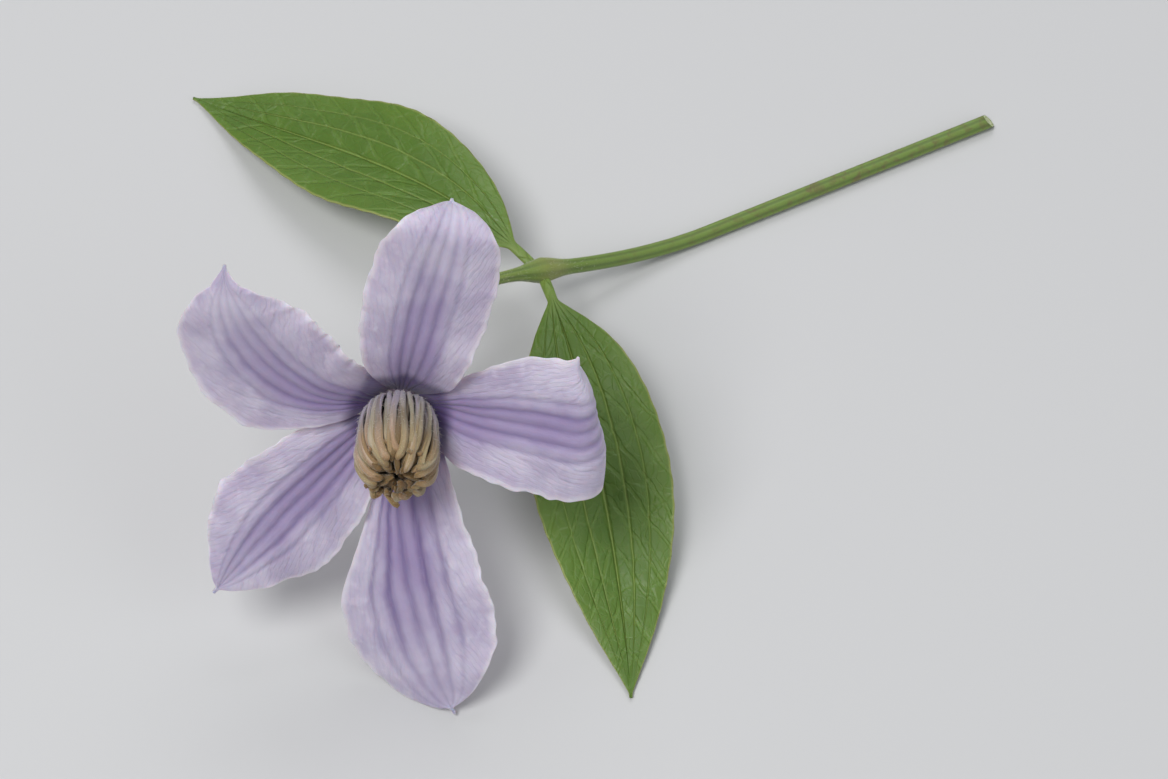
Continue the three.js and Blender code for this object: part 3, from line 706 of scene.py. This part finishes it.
def leaf_finish(name, under):
    """A leaf face: five long nerves, slanting side veins, a net of small veins and soft mottling;
    the underside is paler, duller and its nerves stand out. Marks: across, along, mm sideways."""
    f = Finish(name, 0.45, Subsurface_Weight=0.1, Subsurface_Scale=0.0008,
               Specular_IOR_Level=0.35 if under else 0.5)
    across, along, sideways = f.mark
    length = f.times(along, LEAF_PATTERN)
    side = f.aside(across, 8.0, 0.05)
    middle, inner, outer = LEAF_NERVES
    nerves = f.plus(f.line(across, middle, 0.05),
                    f.lines(side, (inner, 0.035, 0.8), (outer, 0.028, 0.55)))
    nerves = f.times(nerves, f.rise(along, 1.0, 0.8), f.rise(along, 0.03, 0.14))
    flat = f.warped(f.join(sideways, f.times(length, 0.7)), 3.0, 2.2)
    coarse = f.rise(f.net(4.6, flat), 0.09, 0.0)
    fine = f.rise(f.net(1.5, flat), 0.12, 0.0)
    arch = f.slanted(length, sideways, 0.5, 1.5, (9.0, 5.0))
    arch = f.times(f.rise(arch, 0.72, 1.0), f.rise(side, 0.02, 0.15))
    blotch = f.noise(9.0, detail=4.0)
    if under:
        colour = f.layers(
            f.blend(blotch, tint(134, 156, 88), tint(114, 140, 74)),
            (tint(154, 172, 108), arch, 0.3),
            (tint(150, 168, 106), coarse, 0.25),
            (tint(172, 184, 122), nerves, 0.8),
        )
        height = f.plus(f.times(nerves, 0.9), f.times(arch, 0.4), f.times(coarse, 0.3),
                        f.times(fine, 0.15))
        rough = f.rise(blotch, 0.3, 0.7, 0.55, 0.7)
    else:
        colour = f.layers(
            f.blend(blotch, tint(92, 124, 38), tint(68, 100, 30)),
            (tint(106, 136, 46), f.rise(side, 0.5, 1.0), 0.3),
            (tint(104, 136, 54), fine, 0.1),
            (tint(112, 142, 62), coarse, 0.14),
            (tint(112, 142, 60), arch, 0.2),
            (tint(142, 164, 84), nerves, 0.6),
        )
        height = f.plus(f.times(nerves, -0.9), f.times(arch, -0.4), f.times(coarse, -0.25),
                        f.times(fine, -0.12), f.times(f.noise(0.7), 0.08))
        rough = f.rise(blotch, 0.3, 0.7, 0.42, 0.56)
    colour = f.layers(
        colour,
        (tint(168, 172, 104), f.rise(f.sum("ABSOLUTE", across), 0.96, 1.0), 0.6),
        (tint(122, 146, 68), f.rise(along, 0.12, 0.03), 0.75),
    )
    return f.close(colour, rough, height, depth_mm=0.3)


# Tepals.

def tepal_outline(spec, q):
    """Half-width as a share of the widest: a quarter sine raised to a power from the foot to the
    widest place, then a blunt power curve that closes just short of the tip."""
    rise = np.sin(np.pi / 2 * np.clip(q / spec["widest"], 0, 1)) ** spec["taper"]
    low = spec["foot"] + (1 - spec["foot"]) * rise
    x = np.clip((q - spec["widest"]) / (spec["close"] - spec["widest"]), 0, 1)
    high = (1 - x ** spec["point"]) ** (0.4 + 0.5 / spec["point"])
    return np.where(q < spec["widest"], low, high)


def tepal_midrib(spec, q):
    """Middle line of a tepal, and its directions sideways and out of its face. The slope eases
    from rise to spread and then bends back by curl, the heading turns by bend, and the face rolls
    by roll."""
    def way(x):
        opening = (spec["rise"] - spec["spread"]) * (1 - ease(x / 0.38))
        bent = (x - spec["curl_from"]) / (spec["curl_to"] - spec["curl_from"])
        pitch = np.radians(spec["spread"] + opening - spec["curl"] * ease(bent))
        yaw = np.radians(spec["bend"] * x)
        return stack(np.cos(pitch) * np.cos(yaw), np.cos(pitch) * np.sin(yaw), np.sin(pitch))

    level = round_axis(np.radians(spec["bend"] * q))[1]
    roll = np.radians(spec["roll"] * ease(q / 0.2))[:, None]
    side = level * np.cos(roll) + np.cross(way(q), level) * np.sin(roll)
    return walk(way, spec["length"], q) + [TEPAL_FOOT, 0, 0], side, np.cross(way(q), side)


def tepal_points(spec, midrib, phases, q, u, half):
    """Middle surface of a tepal at shares q along and u across: a channel along the midrib, cupped
    sides near the foot, a backward fall, soft pillows between the nerves, and ruffles, crimps and
    nicks that grow towards the margin as powers of u. The foot is wrapped round the receptacle."""
    centre, side, normal = midrib
    hand = np.where(u < 0, 0, 2.1)
    wave = TURN * spec["waves"] * q + spec["phase"] + hand
    free = np.abs(u) ** 2.2 * ends(q, 0.3, 0.06, start=0.12)
    ruffle = spec["ruffle"] * free * (np.sin(wave) + 0.35 * np.sin(2.3 * wave))
    scallop = 1 + 0.015 * free * np.sin(1.7 * wave + 1)
    crimp = 0.16 * np.sin(TURN * 9.3 * q + hand + phases[0])
    crimp = crimp + 0.1 * np.sin(TURN * 17.1 * q + 2 * hand + phases[1])
    crimp = crimp * np.abs(u) ** 7 * ends(q, 0.2, 0.1, start=0.1)
    nick = 1 + 0.008 * np.abs(u) ** 4 * np.sin(TURN * 13.7 * q + hand + phases[2])
    channel = -0.75 * bell(u, 0.3) * ease(q / 0.1) * (1 - 0.6 * q)
    cup = np.where(u < 0, *spec["cup"]) * half * u * u * ease(q / 0.12) * (1 - ease(q / 0.5))
    fallback = -0.16 * half * np.abs(u) ** 3 * ease((q - 0.35) / 0.4)
    v = np.abs(u) / spec["band"]
    pillow = -0.1 * half / spec["half"] * np.cos(TURN * v / TEPAL_NERVES[1]) * (v < 0.5)
    pillow = pillow * ends(q, 0.2, 0.25)
    lift = ruffle + channel + cup + fallback + crimp + pillow
    placed = beside(centre, side, half * u * scallop * nick, normal, lift)
    placed[..., 0] -= (half * u) ** 2 / (2 * TEPAL_FOOT) * (1 - ease(q / 0.1))
    return placed


def tepal_halves(spec, q, points):
    """Half-width on the clockwise hand and on the other. It is outline x half, or that of the beak
    if wider, eased into the reach r at which the margin touches that hand's wall, as
    (w + r - sqrt((w - r)^2 + soft^2)) / 2; the reach is found by halving the miss."""
    beak = spec["beak"] * (1 - ease((q - 0.9) / 0.1)) + 0.2
    full = np.maximum(beak, spec["half"] * tepal_outline(spec, q))
    soft = TEPAL_EASE * ease(q / 0.3) * (1 - ease((q - 0.6) / 0.2))
    halves = []
    for hand, wall in zip((-1, 1), spec["walls"]):
        angle, reach = math.radians(wall - spec["turn"]), full
        for _ in range(24):
            edge = points(np.full((1, 1), float(hand)), reach)[:, 0]
            room = hand * (edge[:, :1] * math.sin(angle) - edge[:, 1:2] * math.cos(angle))
            reach = np.minimum(full + 6, reach + 0.5 * (room - TEPAL_CLEARANCE))
        halves.append((full + reach - np.hypot(full - reach, soft)) / 2)
    return halves


def tepal_piece(name, spec, finishes, seed):
    """One tepal: its middle surface, turned about the bloom's axis to its place, with a skin that
    thins towards the margin and nerves sunken inside that stand out as ribs behind."""
    phases = np.random.default_rng(seed).uniform(0, TURN, 3)
    rows, columns, crowding = 130, 72, 0.8 * np.pi / 2
    q = 1 - (1 - np.linspace(0, 1, rows + 1)) ** 1.3
    q = np.concatenate([[-0.016, -0.008], q])
    u = np.sin(np.linspace(-1, 1, columns + 1) * crowding)[None, :] / np.sin(crowding)
    midrib = tepal_midrib(spec, q)
    q = q[:, None]
    points = partial(tepal_points, spec, midrib, phases, q)
    half = np.where(u < 0, *tepal_halves(spec, q, points))
    outward, onward = round_axis(math.radians(spec["turn"]))
    middle = in_bloom(points(u, half) @ np.array([outward, onward, UP]))
    nerve = ridges(np.abs(u) / spec["band"], TEPAL_NERVES, (0.035, 0.03, 0.025), (1, 1, 0.5))
    nerve = nerve * ends(q, 0.12, 0.3)
    body = TEPAL_THIN_HALF * (1 - 0.6 * np.abs(u) ** 3) * (0.75 + 0.25 * ease((0.2 - q) / 0.2))
    blade = blade_shell(middle, body - 0.1 * nerve, body + 0.3 * nerve, stack(u, q, half * u),
                        TEPAL_RIM)
    piece(name + "_blade", [blade], finishes, name)


# Stamens and pistils.

def silky_hairs(roots, ways, sways, lengths, radius):
    """Hairs in the second finish, whose roots and ways are given in the bloom's own frame."""
    feet = in_bloom(roots)
    return hair_shell(feet, in_bloom(roots + ways) - feet, sways, lengths, radius, finish=1)


def stamen_section(whorl, t, theta, radius, broad, twist):
    """Section of a stamen, across and outwards: an ellipse, bent to the barrel's round by
    -x^2 / (2 radius), with ridges outside and a furrow inside where the anther begins, which
    turns by twist towards the tip."""
    anther = ease((t - whorl["anther"] + 0.08) / 0.14)
    end = np.sqrt(np.clip(1 - ((t - 0.84) / 0.16).clip(0, 1) ** 2.2, 0.02, 1))
    wide = whorl["half"] * broad * (0.62 + 0.3 * ease(t / 0.25) + 0.12 * anther) * end
    wide = wide * (1 - 0.16 * bell(t - whorl["anther"] + 0.1, 0.07))
    x = wide * np.cos(theta)
    ridge = 1 + (0.16 + 0.2 * anther) * np.cos(4 * theta) * np.sign(np.sin(theta))
    y = (0.3 + 0.2 * anther) * end * np.sin(theta) * ridge - x**2 / (2 * radius)
    spin = twist * ease((t - 0.1) / 0.8)
    return x * np.cos(spin) - y * np.sin(spin), x * np.sin(spin) + y * np.cos(spin)


def stamen(random, number, whorl, k):
    """One stamen and the roots, ways and sways of its hairs. It is swept along its whorl's barrel
    line, turned to its angle, leaning a little and straying near its tip. The third mark is the
    whorl's number plus a share of the member's own."""
    rows, sides = 30, 16
    t, theta = np.linspace(0, 1, rows), around(sides)
    angle = TURN * k / whorl["count"] + math.radians(whorl["first"])
    angle += random.uniform(-0.5, 0.5) * math.radians(130 / whorl["count"])
    lean = math.radians(random.uniform(-9, 9))
    reach = random.uniform(0.89, 1.03)
    swing, droop = random.uniform(-0.45, 0.2), random.uniform(-1.1, 1.0)
    if whorl["sunken"] and random.random() < whorl["sunken"]:
        reach, droop = reach - 0.05, 2.3
    broad, twist = random.uniform(0.66, 1.12), math.radians(random.uniform(-40, 40))
    stray = random.uniform(-0.42, 0.42) * ease((t - 0.66) / 0.34)
    turn = angle + lean * t + 0.04 * np.sin(TURN * (t + random.random())) * ease(t / 0.3) + stray
    radius, height = through(whorl["line"], t).T
    radius = radius + swing * ease((t - 0.15) / 0.4) + droop * ease((t - 0.75) / 0.25)
    height = STAMEN_FOOT + (height - STAMEN_FOOT) * reach
    radial, tangent = round_axis(turn)
    slope = unit(np.stack([np.gradient(radius), np.gradient(height)], axis=-1))
    outward = radial * slope[:, 1:] - UP * slope[:, :1]
    x, y = stamen_section(whorl, t[:, None], theta, radius[:, None], broad, twist)
    line = radial * radius[:, None] + UP * height[:, None]
    rings = beside(line, -tangent, x, outward, y)
    marks = stack(np.sin(theta)[None, :], t[:, None], number + random.random())
    count = whorl["hairs"]
    row = (random.uniform(0.03, 0.62, count) * (rows - 1)).astype(int)
    roots = rings[row, random.integers(0, sides // 2 + 1, count)]
    ways = (outward[row] * 0.7 + UP * 0.9
            + tangent[row] * random.uniform(-0.7, 0.7, (count, 1)))
    hairs = (roots, ways, random.uniform(-1, 1, (count, 3)))
    return swept_shell(in_bloom(rings), marks), hairs


def stamens_piece(finishes):
    """The barrel of stamens, whorl by whorl, on a cup round the pistils, with silky hairs on the
    lower part of each stamen."""
    random = np.random.default_rng(4)
    members = [stamen(random, number, whorl, k)
               for number, whorl in enumerate(WHORLS) for k in range(whorl["count"])]
    cup = turned(np.array(STAMEN_CUP), 48)
    cup_marks = stack(0.2 + 0 * cup[..., 0], 0.02, 1.4)
    roots, ways, sways = (np.concatenate(each) for each in zip(*(hairs for _, hairs in members)))
    lengths = random.uniform(0.35, 0.95, len(roots))
    silk = silky_hairs(roots, ways, sways, lengths, radius=0.028)
    shells = [skin for skin, _ in members] + [ring_shell(in_bloom(cup), cup_marks), silk]
    piece("stamen_barrel", shells, finishes, "stamens")


def style(random, k):
    """One style of the pistils and the roots and ways of its hairs: a round section along a line
    that leans out a little, wavers sideways as a sine and hooks at the tip."""
    rows, sides = 18, 8
    t, theta = np.linspace(0, 1, rows), around(sides)
    angle = TURN * k / STYLES + random.uniform(-0.08, 0.08)
    start, top = (0.3, 13.6) if k % 3 == 0 else (0.85, 14.6)
    tall = top + random.uniform(-0.8, 0.9)
    line = through([[start, 7], [start + 0.3, 9.5], [start + 0.35, 12],
                    [start + 0.2, tall - 0.8], [start + 0.05, tall]], t)
    radial, tangent = round_axis(angle)
    centre = radial * line[:, :1] + UP * line[:, 1:]
    centre = centre + tangent * (0.25 * np.sin(TURN * 0.6 * t + k))[:, None]
    thick = (0.17 + 0.07 * bell(t - 0.1, 0.3)) * np.sqrt(np.clip(1.02 - t**6, 0.05, 1))
    thick = thick[:, None]
    rings = beside(centre, radial, thick * np.cos(theta), tangent, thick * np.sin(theta))
    row = random.integers(2, rows - 2, STYLE_HAIRS)
    ways = (radial * random.uniform(-0.4, 1, (STYLE_HAIRS, 1)) + UP * 1.2
            + tangent * random.uniform(-0.7, 0.7, (STYLE_HAIRS, 1)))
    return swept_shell(in_bloom(rings), stack(0 * theta[None], t[:, None], 0)), centre[row], ways


def pistils_piece(finishes):
    """The pistils: a fluted core of close-set bodies, and a brush of slim styles with silky
    hairs."""
    random = np.random.default_rng(9)
    rings = turned(through(PISTIL_CORE, np.linspace(0, 1, 30)), 42, flutes=14, depth=0.09)
    core = swept_shell(in_bloom(rings),
                       stack(0 * rings[..., 0], np.linspace(0, 0.6, 30)[:, None], 0))
    skins, roots, ways = zip(*(style(random, k) for k in range(STYLES)))
    roots, ways = np.concatenate(roots), np.concatenate(ways)
    sways, lengths = random.uniform(-1, 1, roots.shape), random.uniform(0.5, 0.9, len(roots))
    silk = silky_hairs(roots, ways, sways, lengths, radius=0.025)
    piece("pistil_brush", [core, *skins, silk], finishes, "pistils")


# Stem.

def stalk_line(plan):
    """Middle line of the stalk at plan distances from the head: its heading turns from straight
    back towards +x as the distance eases over the arch, and its height settles on the floor."""
    def way(share):
        turn = STALK_BEND * ease(share * STALK_END / STALK_ARCH)
        return stack(np.sin(turn), np.cos(turn))

    ground = walk(way, STALK_END, plan / STALK_END, steps=4 * STALK_END) + HEAD[:2]
    height = settle(plan, STALK_LAND, HEAD[2], STEM_HALF, -math.tan(FACE_TILT))
    return np.column_stack([ground, height])


def stem_radius(run, depth):
    """Radius of the stem: the receptacle's line, then the stalk that widens to the stem and swells
    as a bell at the joint, all softened over three rings."""
    cup = np.interp(depth, *zip(*RECEPTACLE))
    swell = 1 + NODE_SWELL * bell(run - NODE_AT, 3.2)
    stalk = PEDICEL_HALF + (STEM_HALF - PEDICEL_HALF) * ease((run - NODE_AT + 10) / 14)
    radius = np.where(depth < RECEPTACLE[-1][0], cup, stalk * swell)
    return np.convolve(np.pad(radius, 1, mode="edge"), np.ones(3) / 3, mode="valid")


def cut_face(ring, way, theta):
    """The slanting cut over the last ring, drawn in to the middle, its pith a little raised."""
    shares = np.linspace(1, 0.02, 9)[:, None]
    middle = ring.mean(axis=0)
    lift = 0.1 * ease((shares - 0.35) / 0.4) * ease((1 - shares) / 0.1)
    face = middle + (ring - middle)[None] * shares[..., None] + way * lift[..., None]
    marks = stack(shares * np.cos(theta), shares * np.sin(theta), 0)
    return swept_shell(face, marks, first=1, side=1, last=1)


def stalk_down(line, way, run, rings, count=1500, end=62):
    """Short down on the stalk, from the head to just past the joint, thinner towards its end."""
    random = np.random.default_rng(21)
    spot = random.uniform(0, 1, count) ** 1.3 * end
    row = np.clip(np.searchsorted(run, spot), 1, len(run) - 1)
    roots = rings[row, random.integers(0, rings.shape[1], count)]
    outward = unit(roots - line[row])
    sways, lengths = random.uniform(-0.8, 0.8, (count, 3)), random.uniform(0.25, 0.6, count)
    return hair_shell(roots - outward * 0.03, outward * 0.9 + way[row] * 0.35, sways, lengths,
                      radius=0.018, finish=2)


def stem_piece(finishes):
    """Receptacle, flower stalk, leaf joint and cut stem as one swept body. It carries soft ribs as
    a cosine of the angle, is flat below where it lies on the floor, and its last rings lean to
    make the slanting cut."""
    ahead = np.linspace(1.2, 0.05, 9)
    plan = np.concatenate([np.linspace(0, 12, 60)[:-1], np.arange(12, STALK_END + 0.01, 0.5)])
    axis = in_bloom(np.array([0.0, 0.0, 1.0])) - HEAD
    line = np.concatenate([HEAD + axis * ahead[:, None], stalk_line(plan)])
    run = np.concatenate([-ahead, plan])
    way = unit(np.gradient(line, axis=0))
    side = unit(np.cross(way, UP))
    depth = run / math.cos(FACE_TILT)
    theta = around(60)
    rib = 0.5 + 0.5 * np.cos(STEM_RIBS * theta)
    deep = (ease((depth - 3) / 6) * (1 - 0.45 * bell(run - NODE_AT, 5)))[:, None]
    crease = 0.05 * bell(run - NODE_AT, 0.5)[:, None] * (0.4 + 0.6 * np.abs(np.sin(theta)))
    radius = stem_radius(run, depth)[:, None]
    radius = radius * (1 + 0.08 * rib * deep - 0.03 * bell(rib, 0.25) * deep + crease)
    up = radius * np.sin(theta)
    up = np.maximum(up, -np.where(run > STALK_LAND - 12, STEM_HALF, 99)[:, None])
    rings = beside(line, -side, radius * np.cos(theta), np.cross(side, way), up)
    slant = math.tan(CUT_SLANT) * (STEM_HALF - up[-1])
    toward = ease((run - STALK_END + 4) / 4)[:, None]
    rings = rings + way[:, None] * (toward * slant[None, :])[..., None]
    body = swept_shell(rings, stack(rib[None, :], run[:, None] / 100, 0.0))
    shells = [body, cut_face(rings[-1], way[-1], theta), stalk_down(line, way, run, rings)]
    piece("flower_stalk", shells, finishes, "stem")


# Leaves.

def leaf_outline(q):
    """Half-width as a share: 2.87 x^0.9 (1 - x)^1.15 past a short stalk, which flares into it."""
    x = np.clip((q - 0.05) / 0.95, 0, 1)
    return np.hypot(0.055 * (1 - ease(q / 0.3)), 2.87 * x**0.9 * (1 - x) ** 1.15)


def leaf_midrib(spec, q):
    """Middle line of a leaf: it leaves the side of the joint, turns by bend and settles on the
    floor, and runs straight back below share 0."""
    def way(x):
        yaw = np.radians(spec["heading"] + spec["bend"] * x)
        return stack(np.cos(yaw), np.sin(yaw))

    node = stalk_line(np.array([float(NODE_AT)]))[0]
    start = node[:2] + (PEDICEL_HALF * (1 + NODE_SWELL) + LEAF_START) * way(np.zeros(1))
    slope = math.tan(math.radians(spec["rise"]))
    distance = q * spec["length"]
    height = settle(np.maximum(distance, 0), spec["length"], node[2], LEAF_REST, slope)
    return np.column_stack([walk(way, spec["length"], q) + start,
                            height + np.minimum(distance, 0) * slope])


def leaf_piece(name, spec, finishes, seed):
    """One leaf. The blade is folded up along the midrib, ripples towards the margin as u squared,
    is quilted between its nerves, and its nerves are sunken above and raised below; its skin
    thickens to a round stalk at the foot."""
    phases = np.random.default_rng(seed).uniform(0, TURN, 2)
    rows, columns = 150, 64
    q = np.concatenate([[-0.02, -0.014, -0.007], np.linspace(0, 1, rows + 1)])
    u = np.linspace(-1, 1, columns + 1)[None, :]
    line = leaf_midrib(spec, q)
    q = q[:, None]
    along = unit(np.gradient(line, axis=0))
    side = unit(np.cross(UP, along))
    half = PETIOLE_HALF - 0.4 * ease((q - 0.9) / 0.1)
    half = np.maximum(half, spec["half"] * leaf_outline(q))
    spread, hand = half * u, np.where(u < 0, 0, 1.7)
    fold = np.abs(spread) * math.tan(math.radians(spec["fold"])) * (1 - 0.35 * np.abs(u))
    ripple = spec["ripple"] * u * u * np.sin(TURN * 2.6 * q + spec["phase"] + hand)
    cell = np.sin(TURN * (11 * q - 1.4 * np.abs(u)) + phases[0])
    quilt = 0.16 * cell * np.sin(np.pi * np.clip(np.abs(u) / LEAF_NERVES[1], 0, 3.1)) ** 2
    quilt = quilt * ends(q, 0.2, 0.3, start=0.12) * half / spec["half"]
    lift = fold * ease(q / 0.2) + ripple * ends(q, 0.2, 0.3) + quilt
    nick = 1 + 0.006 * np.sin(TURN * 19 * q + hand + phases[1]) * np.abs(u) ** 4
    middle = beside(line, side, spread * nick, np.cross(along, side), lift)
    nerve = ridges(np.abs(u), LEAF_NERVES, (0.035, 0.028, 0.025), (1, 0.55, 0.35))
    nerve = nerve * ends(q, 0.12, 0.45)
    stalk = 1 - ease(q / 0.13)
    body = (LEAF_THIN_HALF * (1 - 0.45 * np.abs(u) ** 4) * (1 - stalk)
            + PETIOLE_HALF * np.sqrt(1 - 0.9 * u**2) * stalk)
    blade = blade_shell(middle, body - 0.12 * nerve, body + 0.32 * nerve, stack(u, q, spread),
                        LEAF_RIM)
    piece(name + "_blade", [blade], finishes, name)


# The picture.

def stand(made, target, azimuth, elevation, distance):
    """Puts a lamp or camera into the scene at a distance from its target, in the direction given
    by its azimuth from the front and its height angle, and turns it to the target."""
    a, e = math.radians(azimuth), math.radians(elevation)
    back = np.array([math.sin(a) * math.cos(e), -math.cos(a) * math.cos(e), math.sin(e)])
    made.location = target + distance * back
    made.rotation_euler = (math.pi / 2 - e, 0, a)
    bpy.context.scene.collection.objects.link(made)


def camera_and_light():
    """A plain pale floor, broad soft lights, and a camera that looks down at the bloom."""
    scene = bpy.context.scene
    floor_mesh = bpy.data.meshes.new("floor")
    corners = [(x * FLOOR_HALF, y * FLOOR_HALF, -FLOOR_DROP)
               for x, y in ((-1, -1), (1, -1), (1, 1), (-1, 1))]
    floor_mesh.from_pydata(corners, [], [(0, 1, 2, 3)])
    plain = Finish("plain pale floor", 0.8, Specular_IOR_Level=0.2)
    floor_mesh.materials.append(plain.close(tint(205, 206, 208)))
    floor = bpy.data.objects.new("floor", floor_mesh)
    scene.collection.objects.link(floor)

    scene.world = bpy.data.worlds.new("soft room")
    scene.world.use_nodes = True
    background = scene.world.node_tree.nodes["Background"]
    background.inputs[0].default_value = ROOM_COLOUR
    background.inputs[1].default_value = ROOM_STRENGTH

    for name, (azimuth, elevation, distance, size, power, colour) in LAMPS.items():
        light = bpy.data.lights.new(name, "AREA")
        light.shape, light.size, light.energy, light.color = "DISK", size, power, colour
        lamp = bpy.data.objects.new(name, light)
        stand(lamp, LAMPS_AIM_HEIGHT * UP, azimuth, elevation, distance)

    lens = bpy.data.cameras.new("camera")
    lens.lens, lens.sensor_width = LENS_MM, SENSOR_MM
    lens.clip_start, lens.clip_end = 0.01, 20
    scene.camera = bpy.data.objects.new("camera", lens)
    stand(scene.camera, CAMERA_AIM, 0, CAMERA_ELEVATION, CAMERA_AWAY)
    scene.view_settings.view_transform = "Standard"


for seed, (name, spec) in enumerate(TEPALS.items()):
    inside = tepal_inside(name, spec["fade"], spec["band"], spec["dark"])
    tepal_piece(name, spec, [inside, tepal_outside(name, spec["band"])], seed)

silk = silk_finish("stamen silk", tint(196, 190, 172), tint(232, 228, 214))
stamens_piece([stamen_finish(), silk])
pistils_piece([pistil_finish(), silk])
down = silk_finish("stalk down", tint(190, 196, 150), tint(224, 226, 200))
stem_piece([stem_finish(), cut_finish(), down])

leaf_finishes = [leaf_finish("leaf upper face", False), leaf_finish("leaf underside", True)]
for seed, (name, spec) in enumerate(LEAVES.items()):
    leaf_piece(name, spec, leaf_finishes, 40 + seed)

camera_and_light()
